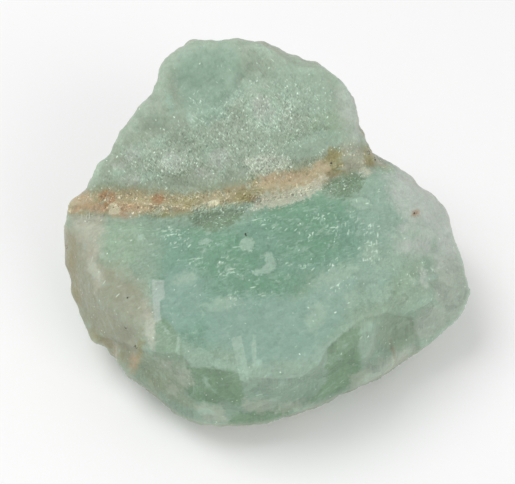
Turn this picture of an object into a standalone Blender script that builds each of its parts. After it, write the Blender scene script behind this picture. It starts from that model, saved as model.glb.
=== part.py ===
"""A loose chunk of green calcite, resting on a flat cleavage face.

The stone is one piece that grew in two blocks: a broad lower block with a smooth teal top, and an
upper block that leans back from it. They meet along an iron-stained seam, which runs round the stone
as a thin rough ledge with a groove under it.

The shape is worked out in millimetres and turned into metres at the end. +Z is up, the teal face
looks towards -Y, and the origin is the middle of the bounding box, on the table.
"""

import math
import random

import bmesh
import bpy
import numpy as np
from mathutils import Matrix, Vector, kdtree, noise

MM = 0.001
NAME = "green_calcite"

# The lower block: corners in mm, loop by loop from the table upwards
FOOT = [
    (-17, -4, -2), (-11, -13, -2), (-3, -17, -2), (7, -16, -2), (17, -9, -2), (23, -3, -2),
    (24, 8, -2), (18, 18, -2), (5, 23, -2), (-10, 21, -2), (-20, 10, -2),
]
WAIST = [
    (-32.5, 1.5, 13), (-31, -5, 9.5), (-27.5, -11, 8), (-21.5, -17, 7), (-17, -21, 6.5),
    (-12.5, -24.5, 6), (-8, -26.5, 6), (1, -27, 6), (12, -22, 6), (23.5, -14.5, 6.5),
    (29, -10.5, 7.5), (33.5, -7.5, 9), (35.5, -4, 11), (34.5, 1, 14), (31, 15, 14),
    (22, 27, 12), (8, 32, 11), (-10, 31, 10), (-26, 21, 11),
]
SHOULDER = [
    (-32.5, 5, 17), (-31, 4, 24), (-25.5, -6, 22.5), (-17, -19, 20.5), (-10, -23.5, 19),
    (-1, -25.5, 18.5), (7, -24, 18.5), (12.5, -20, 20), (22.5, -12.5, 20), (30, -4.5, 18),
    (33, 5.5, 17), (30.5, 8, 20), (24, 8.5, 26), (19.5, 9.5, 29), (17, 24, 25),
    (2, 30, 24), (-18, 26, 22),
]

# The upper block: its crest, the toe of its front face inside the lower block, and its back
CREST = [
    (-27.7, 6.2, 26.4), (-26.6, 9.4, 28), (-23.8, 11.8, 30), (-21, 15.5, 33), (-17.3, 17.6, 36),
    (-16.2, 19, 38), (-15.7, 20.9, 40), (-13.1, 23.1, 41.5), (-8.5, 24, 42.8), (-2.8, 23.2, 43.3),
    (4.1, 21.7, 42.5), (10, 20, 41), (12.7, 18.8, 39.5), (15.1, 17.7, 37), (16.5, 15.4, 34),
    (17.5, 12.6, 31.5), (18.9, 11.8, 29.5),
]
TOE = [(-24, -0.5, 18), (-4, -5, 18), (12, -2, 18), (14, 20, 8), (-4, 25, 8), (-20, 18, 8)]
BACK = [(-12, 30, 36), (-2, 31, 38), (8, 29, 34), (14, 25, 28), (0, 34, 22), (-19, 26, 25)]

# The view that shows both faces squarely: from the front, VIEW_RISE above the table
VIEW_RISE = math.radians(50)
VIEW_DISTANCE = 200.0
VIEW_CENTRE = Vector((0, 0, 20))
RIGHT = Vector((1, 0, 0))
UP = Vector((0, math.sin(VIEW_RISE), math.cos(VIEW_RISE)))
AWAY = Vector((0, math.cos(VIEW_RISE), -math.sin(VIEW_RISE)))

# The outline in that view, in mm right of and above the view's centre, anticlockwise from the right
OUTLINE = [
    (34.8, -7.9), (32.5, 0.3), (30.2, 6.1), (27.4, 8.9), (24.9, 11.0), (22.3, 12.8), (20.1, 13.8),
    (18.8, 15.1), (17.5, 17.1), (16.5, 20.9), (15.2, 24.7), (12.9, 27.3), (10.1, 29.3),
    (7.0, 30.3), (4.2, 31.6), (0.7, 32.7), (-2.9, 33.2), (-6.2, 33.1), (-8.6, 33.4),
    (-10.8, 33.2), (-13.2, 31.7), (-15.9, 29.1), (-16.4, 26.3), (-17.4, 23.8), (-19.2, 22.4),
    (-21.0, 20.2), (-23.8, 15.5), (-26.6, 12.3), (-27.9, 8.9), (-30.8, 6.4), (-31.7, 3.3),
    (-31.5, -3.3), (-30.7, -7.9), (-28.7, -12.8), (-27.2, -16.1), (-24.4, -17.9),
    (-21.3, -22.4), (-17.4, -25.3), (-12.7, -28.8), (-8.6, -30.1), (-2.1, -30.1), (2.9, -29.4),
    (7.0, -28.1), (14.4, -24.8), (20.5, -22.2), (26.7, -17.8), (31.7, -13.8), (34.3, -10.4),
]
OUTLINE_MIDDLE = (0.7, 0.3)
SECTORS = 300
TRIM_GRIP = 2.5

# The seam in that view, and how its sheet bends up behind the front faces
SEAM = [
    (-32, 5.6), (-26, 6.9), (-18, 6.1), (-11, 5.6), (-1.5, 8.5), (7, 9.9), (12, 12.6), (15, 14.9),
    (20, 14.0),
]
SEAM_FRONT = 6.0
SEAM_LIFT = 0.75
LEDGE_HEIGHT, LEDGE_HALF = 0.9, 1.5
GROOVE_DEPTH, GROOVE_HALF = 0.9, 1.3

# Worn edges, and the relief of a broken surface
VOXEL = 0.9
WEAR = 9
LUMP_HEIGHT, LUMP_SPACING = 0.7, 13.0
KNOB_HEIGHT, KNOB_SPACING = 0.4, 5.0
CHIP_SPACING = 7.0
CHIP_TILT = 0.18
CHIP_BLEND = 0.7
CHIP_FLATNESS = 0.8
UPPER_CALM, TEAL_CALM = 0.45, 0.8
STEP_HEIGHT = 3.2
STEP_STRENGTH = 0.8
DISH_DEPTH = 1.0
DISH = {"right": 3, "up": -7, "half_width": 26, "half_height": 13}
TRIANGLES = 9000
SNAP = 0.05
SEED = 11

# Normals of calcite's three cleavages, 75 degrees apart, turned as they lie in this stone
CLEAVAGE = [Vector((-0.86, -0.36, 0.36)), Vector((0.42, -0.86, 0.28)), Vector((0.1, 0.3, 0.95))]


def block(name, *loops):
    """The convex block that spans these loops of corners."""
    mesh = bpy.data.meshes.new(name)
    shape = bmesh.new()
    for corner in sum(loops, []):
        shape.verts.new(corner)
    bmesh.ops.convex_hull(shape, input=shape.verts)
    bmesh.ops.delete(shape, geom=[corner for corner in shape.verts if not corner.link_faces])
    bmesh.ops.recalc_face_normals(shape, faces=shape.faces)
    shape.to_mesh(mesh)
    shape.free()
    obj = bpy.data.objects.new(name, mesh)
    bpy.context.scene.collection.objects.link(obj)
    return obj


def applied(obj):
    """The mesh that the object's modifiers give."""
    graph = bpy.context.evaluated_depsgraph_get()
    return bpy.data.meshes.new_from_object(obj.evaluated_get(graph))


def grown_together():
    """Both blocks as one closed mesh of even grain, with worn edges."""
    lower = block("lower_block", FOOT, WAIST, SHOULDER)
    upper = block("upper_block", CREST, TOE, BACK)
    join = lower.modifiers.new("join", "BOOLEAN")
    join.operation = "UNION"
    join.solver = "EXACT"
    join.object = upper
    grain = lower.modifiers.new("grain", "REMESH")
    grain.mode = "VOXEL"
    grain.voxel_size = VOXEL
    worn = lower.modifiers.new("worn", "SMOOTH")
    worn.factor = 0.5
    worn.iterations = WEAR
    mesh = applied(lower)
    for obj in (lower, upper):
        bpy.data.objects.remove(obj)
    return mesh


def seen(point):
    """Where a point lies in the view, as mm right and up, with its distance behind the centre."""
    offset = point - VIEW_CENTRE
    away = offset.dot(AWAY)
    nearer = VIEW_DISTANCE / (VIEW_DISTANCE + away)
    return offset.dot(RIGHT) * nearer, offset.dot(UP) * nearer, away


def above_seam(point):
    """The distance above the seam, below it if negative, anywhere round the stone."""
    right, up, away = seen(point)
    line = np.interp(right, [place[0] for place in SEAM], [place[1] for place in SEAM])
    behind = max(0.0, away - SEAM_FRONT)
    wander = 0.8 * noise.noise(point / 6) + 0.4 * noise.noise(point / 2.4)
    return up - line - SEAM_LIFT * behind + wander


def bump(distance, half):
    """A rounded ridge of height 1 and this half width."""
    return max(0.0, 1 - (distance / half) ** 2) ** 2


def roughness(point, normal):
    """1 on the flanks and the back, less on the upper front face, and least on the teal face."""
    facing = max(0.0, min(1.0, (-normal.dot(AWAY) - 0.5) / 0.35))
    lower = max(0.0, min(1.0, 0.5 - above_seam(point) / 3))
    return 1 - (UPPER_CALM + (TEAL_CALM - UPPER_CALM) * lower) * facing


def chip_centres(mesh):
    """Chips spread over the surface: the middle of each one and the way it faces."""
    surface = kdtree.KDTree(len(mesh.vertices))
    for vertex in mesh.vertices:
        surface.insert(vertex.co, vertex.index)
    surface.balance()
    rng = random.Random(SEED)
    chosen = []
    for _ in range(4000):
        guess = Vector((rng.uniform(-36, 36), rng.uniform(-30, 36), rng.uniform(-4, 46)))
        tilt = Vector((rng.gauss(0, CHIP_TILT), rng.gauss(0, CHIP_TILT), rng.gauss(0, CHIP_TILT)))
        point, index, _ = surface.find(guess)
        if all((point - centre).length > CHIP_SPACING for centre, _ in chosen):
            chosen.append((point.copy(), (mesh.vertices[index].normal + tilt).normalized()))
    return chosen


def to_chips(point, tree, chips):
    """How far the surface moves to reach the faces of the chips round this point."""
    ragged = point + 1.2 * noise.noise_vector(point / 4)
    nearest = tree.find_n(ragged, 3)
    weights = [math.exp((nearest[0][2] - distance) / CHIP_BLEND) for _, _, distance in nearest]
    shift = Vector()
    for (_, index, _), weight in zip(nearest, weights):
        centre, facing = chips[index]
        shift += facing * (centre - point).dot(facing) * weight
    return shift / sum(weights)


def to_steps(point, normal):
    """How far the surface moves to lie in flat cleavage steps, where it faces along a cleavage."""
    shift = Vector()
    for way in CLEAVAGE:
        hold = max(0.0, (normal.dot(way) - 0.6) / 0.4)
        along = point.dot(way) / STEP_HEIGHT + 0.5 * noise.noise(point / 10)
        off = along - math.floor(along + 0.5)
        shift += way * STEP_HEIGHT * hold * (math.copysign((2 * abs(off)) ** 4 / 2, off) - off)
    return shift


def broken(mesh):
    """Give the surface the flat chips and cleavage steps of broken stone."""
    chips = chip_centres(mesh)
    tree = kdtree.KDTree(len(chips))
    for index, (centre, _) in enumerate(chips):
        tree.insert(centre, index)
    tree.balance()
    moved = []
    for vertex in mesh.vertices:
        rough = roughness(vertex.co, vertex.normal)
        shift = to_chips(vertex.co, tree, chips) * CHIP_FLATNESS * rough
        shift += to_steps(vertex.co, vertex.normal) * STEP_STRENGTH * max(0.0, rough - 0.4)
        moved.append(vertex.co + shift)
    for vertex, place in zip(mesh.vertices, moved):
        vertex.co = place
    mesh.update()


def dish(point):
    """The shallow hollow of the teal face, as a share of its depth."""
    right, up, away = seen(point)
    across = (right - DISH["right"]) / DISH["half_width"]
    along = (up - DISH["up"]) / DISH["half_height"]
    return max(0.0, 1 - across ** 2 - along ** 2) * (away < 4)


def relief(mesh):
    """Lumps and knobs, the hollow of the teal face, and the seam's ledge with the groove under it."""
    moved = []
    for vertex in mesh.vertices:
        point = vertex.co
        height = LUMP_HEIGHT * noise.noise(point / LUMP_SPACING)
        height += KNOB_HEIGHT * roughness(point, vertex.normal) * noise.noise(point / KNOB_SPACING)
        height -= DISH_DEPTH * dish(point)
        above = above_seam(point)
        worn = 0.75 + 0.6 * noise.noise(point / 9) - 0.35 * max(0.0, 0.6 - abs(vertex.normal.dot(AWAY)))
        height += LEDGE_HEIGHT * worn * bump(above, LEDGE_HALF)
        height -= GROOVE_DEPTH * worn * bump(above + LEDGE_HALF + GROOVE_HALF, GROOVE_HALF)
        moved.append(point + vertex.normal * height)
    for vertex, place in zip(mesh.vertices, moved):
        vertex.co = place
    mesh.update()


def trimmed(mesh):
    """Draw the stone in or out across the view until its outline is OUTLINE."""
    centre = np.array(OUTLINE_MIDDLE)
    places = np.array([seen(vertex.co)[:2] for vertex in mesh.vertices]) - centre
    angles = np.arctan2(places[:, 1], places[:, 0])
    reach = np.hypot(places[:, 0], places[:, 1])
    ends = np.array([edge.vertices[:] for edge in mesh.edges])
    along = np.vstack([places[ends[:, 0]] * (1 - share) + places[ends[:, 1]] * share
                       for share in (0, 0.2, 0.4, 0.6, 0.8)])
    bounds = np.linspace(-math.pi, math.pi, SECTORS + 1)
    sector = np.digitize(np.arctan2(along[:, 1], along[:, 0]), bounds[1:-1])
    widest = np.zeros(SECTORS)
    np.maximum.at(widest, sector, np.hypot(along[:, 0], along[:, 1]))
    middles = (bounds[:-1] + bounds[1:]) / 2
    corners = np.array(OUTLINE) - centre
    corner_angles = np.arctan2(corners[:, 1], corners[:, 0])
    wanted = np.interp(angles, corner_angles, np.hypot(corners[:, 0], corners[:, 1]), period=2 * math.pi)
    current = np.interp(angles, middles, widest, period=2 * math.pi)
    grip = np.clip(reach / current, 0, 1) ** TRIM_GRIP
    scale = 1 + (wanted / current - 1) * grip
    for vertex, factor, place in zip(mesh.vertices, scale, places):
        away = seen(vertex.co)[2]
        spread = (VIEW_DISTANCE + away) / VIEW_DISTANCE
        right, up = (place * factor + centre) * spread
        vertex.co = VIEW_CENTRE + RIGHT * right + UP * up + AWAY * away
    mesh.update()


def thinned(mesh):
    """The same surface with about TRIANGLES triangles."""
    obj = bpy.data.objects.new("thinned", mesh)
    bpy.context.scene.collection.objects.link(obj)
    settle = obj.modifiers.new("settle", "SMOOTH")
    settle.factor = 0.3
    settle.iterations = 1
    thin = obj.modifiers.new("thin", "DECIMATE")
    thin.ratio = TRIANGLES / (2 * len(mesh.polygons))
    result = applied(obj)
    bpy.data.objects.remove(obj)
    return result


def rested(mesh):
    """Cut the stone flat at the table, with the origin under the middle of its box."""
    shape = bmesh.new()
    shape.from_mesh(mesh)
    everything = shape.verts[:] + shape.edges[:] + shape.faces[:]
    cut = bmesh.ops.bisect_plane(shape, geom=everything, dist=SNAP, plane_co=(0, 0, 0),
                                 plane_no=(0, 0, 1), clear_inner=True)
    rim = [item for item in cut["geom_cut"] if isinstance(item, bmesh.types.BMEdge)]
    bmesh.ops.contextual_create(shape, geom=rim)
    for vertex in shape.verts:
        if vertex.co.z < SNAP:
            vertex.co.z = 0
    bmesh.ops.triangulate(shape, faces=shape.faces)
    bmesh.ops.recalc_face_normals(shape, faces=shape.faces)
    places = np.array([vertex.co for vertex in shape.verts])
    middle = (places.min(axis=0) + places.max(axis=0)) / 2
    print("middle of the box, mm", middle.round(2))
    bmesh.ops.translate(shape, verts=shape.verts, vec=(-middle[0], -middle[1], 0))
    bmesh.ops.transform(shape, verts=shape.verts, matrix=Matrix.Scale(MM, 4))
    shape.to_mesh(mesh)
    shape.free()


def calcite():
    """Pale grey-green stone, dull except where it is freshly broken."""
    material = bpy.data.materials.new("calcite")
    material.use_nodes = True
    shader = material.node_tree.nodes["Principled BSDF"]
    shader.inputs["Base Color"].default_value = (0.31, 0.40, 0.31, 1)
    shader.inputs["Roughness"].default_value = 0.5
    shader.inputs["Metallic"].default_value = 0.0
    return material


def main():
    for old in list(bpy.data.objects):
        bpy.data.objects.remove(old)
    noise.seed_set(SEED)
    mesh = grown_together()
    broken(mesh)
    relief(mesh)
    trimmed(mesh)
    mesh = thinned(mesh)
    trimmed(mesh)
    rested(mesh)
    mesh.name = NAME
    mesh.shade_smooth()
    mesh.set_sharp_from_angle(angle=math.radians(40))
    mesh.materials.append(calcite())
    stone = bpy.data.objects.new(NAME, mesh)
    collection = bpy.data.collections.new(NAME + "_parts")
    bpy.context.scene.collection.children.link(collection)
    collection.objects.link(stone)


main()
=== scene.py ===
# %% [markdown]
# # A chunk of green calcite
# The stone is one piece, so the lesson is about its surface: how rough it is, and how its colour changes
# from place to place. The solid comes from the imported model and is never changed. We copy it, give
# the copy a finer skin, carve fine relief into that with Geometry Nodes, and paint it with a material
# that reads a few fields kept on its points.

# %% Load the frame
import math

import bmesh
import bpy
import numpy as np
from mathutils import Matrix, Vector, noise


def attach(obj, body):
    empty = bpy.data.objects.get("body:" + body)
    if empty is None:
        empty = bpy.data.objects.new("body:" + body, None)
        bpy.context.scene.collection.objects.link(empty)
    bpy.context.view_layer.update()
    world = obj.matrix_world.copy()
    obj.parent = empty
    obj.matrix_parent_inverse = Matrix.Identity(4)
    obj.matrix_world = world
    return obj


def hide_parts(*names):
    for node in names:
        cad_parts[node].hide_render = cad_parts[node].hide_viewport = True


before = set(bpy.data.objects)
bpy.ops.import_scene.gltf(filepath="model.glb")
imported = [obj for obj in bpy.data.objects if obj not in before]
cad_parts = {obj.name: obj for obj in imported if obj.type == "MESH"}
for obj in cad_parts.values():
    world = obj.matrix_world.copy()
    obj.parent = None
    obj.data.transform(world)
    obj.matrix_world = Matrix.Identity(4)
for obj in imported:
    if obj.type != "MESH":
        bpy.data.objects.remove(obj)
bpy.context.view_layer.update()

NODE = "green_calcite"
MM = 0.001

# %% [markdown]
# ## The camera
# The photograph looks down on the stone from the front, at about 50 degrees. An 85 mm lens 200 mm away
# gives its gentle perspective. The camera comes first, because the places of the flakes, stains and
# patches are given as pixels of the photograph, and the camera turns those into places on the stone.

# %% Camera
PHOTO_WIDTH, PHOTO_HEIGHT = 515, 484
LENS, SENSOR = 85, 36
RISE = math.radians(50)
DISTANCE = 200 * MM
AIM = Vector((-1.13, -3.46, 20)) * MM
RIGHT = Vector((1, 0, 0))
UP = Vector((0, math.sin(RISE), math.cos(RISE)))
BACK = Vector((0, -math.cos(RISE), math.sin(RISE)))

camera = bpy.data.objects.new("camera", bpy.data.cameras.new("camera"))
camera.data.lens = LENS
camera.data.sensor_width = SENSOR
camera.data.clip_start = 10 * MM
camera.location = AIM + BACK * DISTANCE
camera.rotation_euler = BACK.to_track_quat("Z", "Y").to_euler()
bpy.context.scene.collection.objects.link(camera)
bpy.context.scene.camera = camera

PIXELS_PER_MM = LENS / SENSOR * PHOTO_WIDTH / (DISTANCE / MM)
print("pixels to a mm at the stone:", round(PIXELS_PER_MM, 2))

# %% [markdown]
# ## A finer skin
# The solid has a few thousand triangles, enough for its lumps and ledges but not for the grain of broken
# calcite. Sculpting it finer by hand would lose the match with the solid, so modifiers do it: we copy
# the solid, merge its loose triangles, round it with Subdivision Surface, let a voxel Remesh lay an even
# net over it, fine enough for relief of about a millimetre, and ease the net's steps with Smooth.

# %% Skin
SKIN_GRID = 0.4 * MM
MERGE_DISTANCE = 0.001 * MM
EASING_STEPS = 8


def applied(obj):
    """The mesh that the object's modifiers give."""
    graph = bpy.context.evaluated_depsgraph_get()
    return bpy.data.meshes.new_from_object(obj.evaluated_get(graph))


def fine_skin(node):
    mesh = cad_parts[node].data.copy()
    shape = bmesh.new()
    shape.from_mesh(mesh)
    bmesh.ops.remove_doubles(shape, verts=shape.verts, dist=MERGE_DISTANCE)
    shape.to_mesh(mesh)
    shape.free()
    copy = bpy.data.objects.new("skin", mesh)
    bpy.context.scene.collection.objects.link(copy)
    rounding = copy.modifiers.new("rounding", "SUBSURF")
    rounding.levels = rounding.render_levels = 1
    net = copy.modifiers.new("net", "REMESH")
    net.mode = "VOXEL"
    net.voxel_size = SKIN_GRID
    easing = copy.modifiers.new("easing", "SMOOTH")
    easing.iterations = EASING_STEPS
    skin = applied(copy)
    bpy.data.objects.remove(copy)
    skin.materials.clear()
    return skin


skin = fine_skin(NODE)
print("skin:", len(skin.vertices), "points,", len(skin.polygons), "faces")

# %% [markdown]
# ## What each point knows
# numpy reads all the points at once. For each one we work out its pixel in the photograph, and how
# squarely it faces the camera: a patch that is placed by a pixel must not reach the back of the stone,
# which lies on the same pixels. Behind, a slow noise decides where patches lie. The brim is the strip
# where the stone turns away from the camera: it is painted a little paler and warmer there, a painted
# glow of the light that shines through its thin edges.

# %% Points, pixels and facing
SHOWN_FROM, SHOWN_RANGE = -0.05, 0.15
BRIM_MIDDLE, BRIM_REACH = 0.05, 0.25

count = len(skin.vertices)
points = np.empty(count * 3, np.float32)
normals = np.empty(count * 3, np.float32)
skin.vertices.foreach_get("co", points)
skin.vertices.foreach_get("normal", normals)
points, normals = points.reshape(-1, 3), normals.reshape(-1, 3)

from_aim = (points - np.array(AIM)) / MM
away = -from_aim @ np.array(BACK)
pixels_per_mm = PIXELS_PER_MM / (1 + away * MM / DISTANCE)
pixel_x = PHOTO_WIDTH / 2 + from_aim @ np.array(RIGHT) * pixels_per_mm
pixel_y = PHOTO_HEIGHT / 2 - from_aim @ np.array(UP) * pixels_per_mm
facing = normals @ np.array(BACK)
shown = np.clip((facing - SHOWN_FROM) / SHOWN_RANGE, 0, 1)


def slow_noise(spacing, shift):
    """A noise from -1 to 1 at every point, with its lumps this many mm apart."""
    offset = Vector((shift, -shift, shift * 0.5))
    return np.array([noise.noise(Vector(point) / (spacing * MM) + offset) for point in points])


def store(name, values):
    """Keep a field on the skin's points, where Geometry Nodes and the material can read it."""
    layer = skin.attributes.new(name, "FLOAT", "POINT")
    layer.data.foreach_set("value", np.asarray(values, np.float32))
    print(f"{name}: {values.min():.2f} to {values.max():.2f}")


store("shown", shown)
# painted light: the brim is painted paler and warmer where the stone turns edge-on to the camera, a glow of
# light through thin edges
store("brim_glow", BRIM_REACH - np.abs(facing - BRIM_MIDDLE))

# %% [markdown]
# ## The seam
# An iron-stained seam crosses the stone where its two blocks grew together. The stained band is wide at
# the left, thinner in the middle and wide again at the right. It could be painted on, but relief and
# colour both need it, so it is a field: the distance in mm above a line that is drawn on the photo and
# carries on round the back.

# %% Seam field
SEAM_PIXELS = [
    (60, 208), (85, 203), (107, 201), (132, 202), (157, 202), (187, 204), (210, 200), (228, 196), (247, 193),
    (265, 189), (291, 184), (310, 178), (322, 172), (338, 163), (352, 161), (375, 157), (400, 160),
]
SEAM_WIDTHS = [
    (60, 1.2), (107, 1.95), (157, 1.65), (195, 1.3), (232, 1.2), (262, 1.8), (300, 2.0), (335, 1.7),
    (380, 1.4),
]
SEAM_FRONT = 6
SEAM_LIFT = 0.75
SEAM_WAVES = 0.3
HIDDEN_WIDTH, LEAST_WIDTH = 1.3, 0.2
CORE_INSET, HALO_ABOVE, HALO_BELOW = 1.0, 1.0, 0.4

line_x, line_y = np.array(SEAM_PIXELS).T
width_x, width_mm = np.array(SEAM_WIDTHS).T
behind = np.maximum(0, away - SEAM_FRONT)
above_seam = (np.interp(pixel_x, line_x, line_y) - pixel_y) / pixels_per_mm - SEAM_LIFT * behind
above_seam += SEAM_WAVES * slow_noise(4, 3)
seam_width = np.interp(pixel_x, width_x, width_mm) * shown
seam_width += (1 - shown) * (HIDDEN_WIDTH + slow_noise(9, 5))
store("above_seam", above_seam)
in_seam = np.maximum(seam_width, LEAST_WIDTH) - np.abs(above_seam)
store("in_seam", in_seam)
store("seam_core", in_seam - CORE_INSET)
store("halo", in_seam + np.where(above_seam > 0, HALO_ABOVE, HALO_BELOW))

# %% [markdown]
# ## Patches
# The stone has milky, teal, mossy and stained patches, and a few flakes and chips. Painting them by hand
# would fix their size in pixels. So each kind is a list of shapes drawn on the photo, as a maker would
# chalk them on the stone: an oval, or an outline of a few corners. A field is how far a point lies
# inside the nearest one, in mm, and negative outside. The material cuts it with noise, which gives edges
# finer than the net.

# %% Shapes drawn on the photo


def oval(x, y, across, along, turn=0):
    """An oval about a pixel, with its two half widths in pixels, turned by some degrees."""
    cos, sin = math.cos(math.radians(turn)), math.sin(math.radians(turn))
    right, down = pixel_x - x, pixel_y - y
    reach = np.hypot((right * cos + down * sin) / across, (down * cos - right * sin) / along)
    return (1 - reach) * min(across, along) / pixels_per_mm


def outline(*corners):
    """An outline through these pixels."""
    nearest = np.full(count, np.inf)
    odd = np.zeros(count, bool)
    for (x0, y0), (x1, y1) in zip(corners, corners[1:] + corners[:1]):
        run, drop = x1 - x0, y1 - y0
        along = np.clip(((pixel_x - x0) * run + (pixel_y - y0) * drop) / (run * run + drop * drop), 0, 1)
        nearest = np.minimum(nearest, np.hypot(pixel_x - x0 - along * run, pixel_y - y0 - along * drop))
        crossing = x0 + run * (pixel_y - y0) / (drop or 1)
        odd ^= ((y0 > pixel_y) != (y1 > pixel_y)) & (pixel_x < crossing)
    return np.where(odd, nearest, -nearest) / pixels_per_mm


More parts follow.
